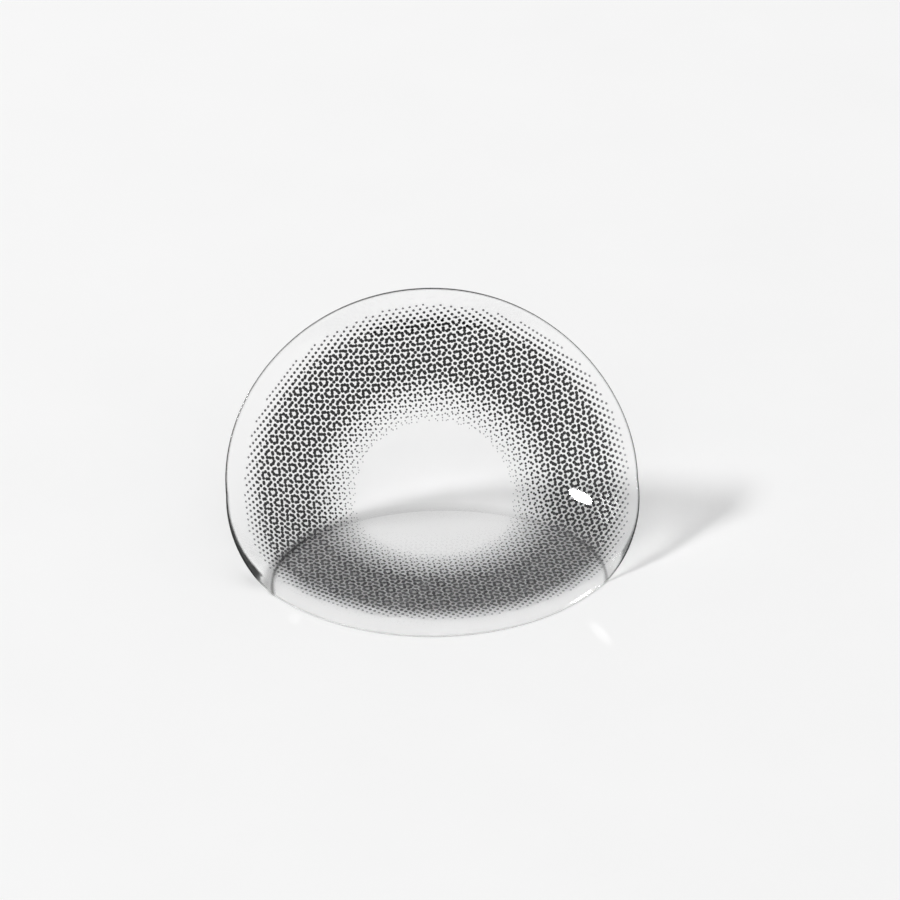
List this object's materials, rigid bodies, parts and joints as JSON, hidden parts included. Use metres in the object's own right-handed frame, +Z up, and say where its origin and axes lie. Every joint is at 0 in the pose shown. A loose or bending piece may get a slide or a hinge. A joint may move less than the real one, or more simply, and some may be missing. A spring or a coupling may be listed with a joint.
{
  "type": "coloured contact lens",
  "caption": "Soft coloured contact lens standing bent on a table: a thin clear bowl, pressed flat in front, with a ring of dark halftone print round a clear pupil.",
  "frame": {"origin": "on the table, under the middle of the lens's box", "axes": "+X across the lens, -Y the way its hollow side faces, +Z up from the table"},
  "size_m": [0.0148, 0.0114, 0.0078],
  "materials": {
    "clear_hydrogel": "wet, clear, glossy",
    "print_fade": "fine dots, half covering",
    "print_dark": "dense dots, nearly black"
  },
  "bodies": {
    "root": {"lens_body": "clear_hydrogel", "print_outer_fade": "print_fade", "print_dark_ring": "print_dark", "print_pupil_fade": "print_fade"}
  },
  "joints": []
}
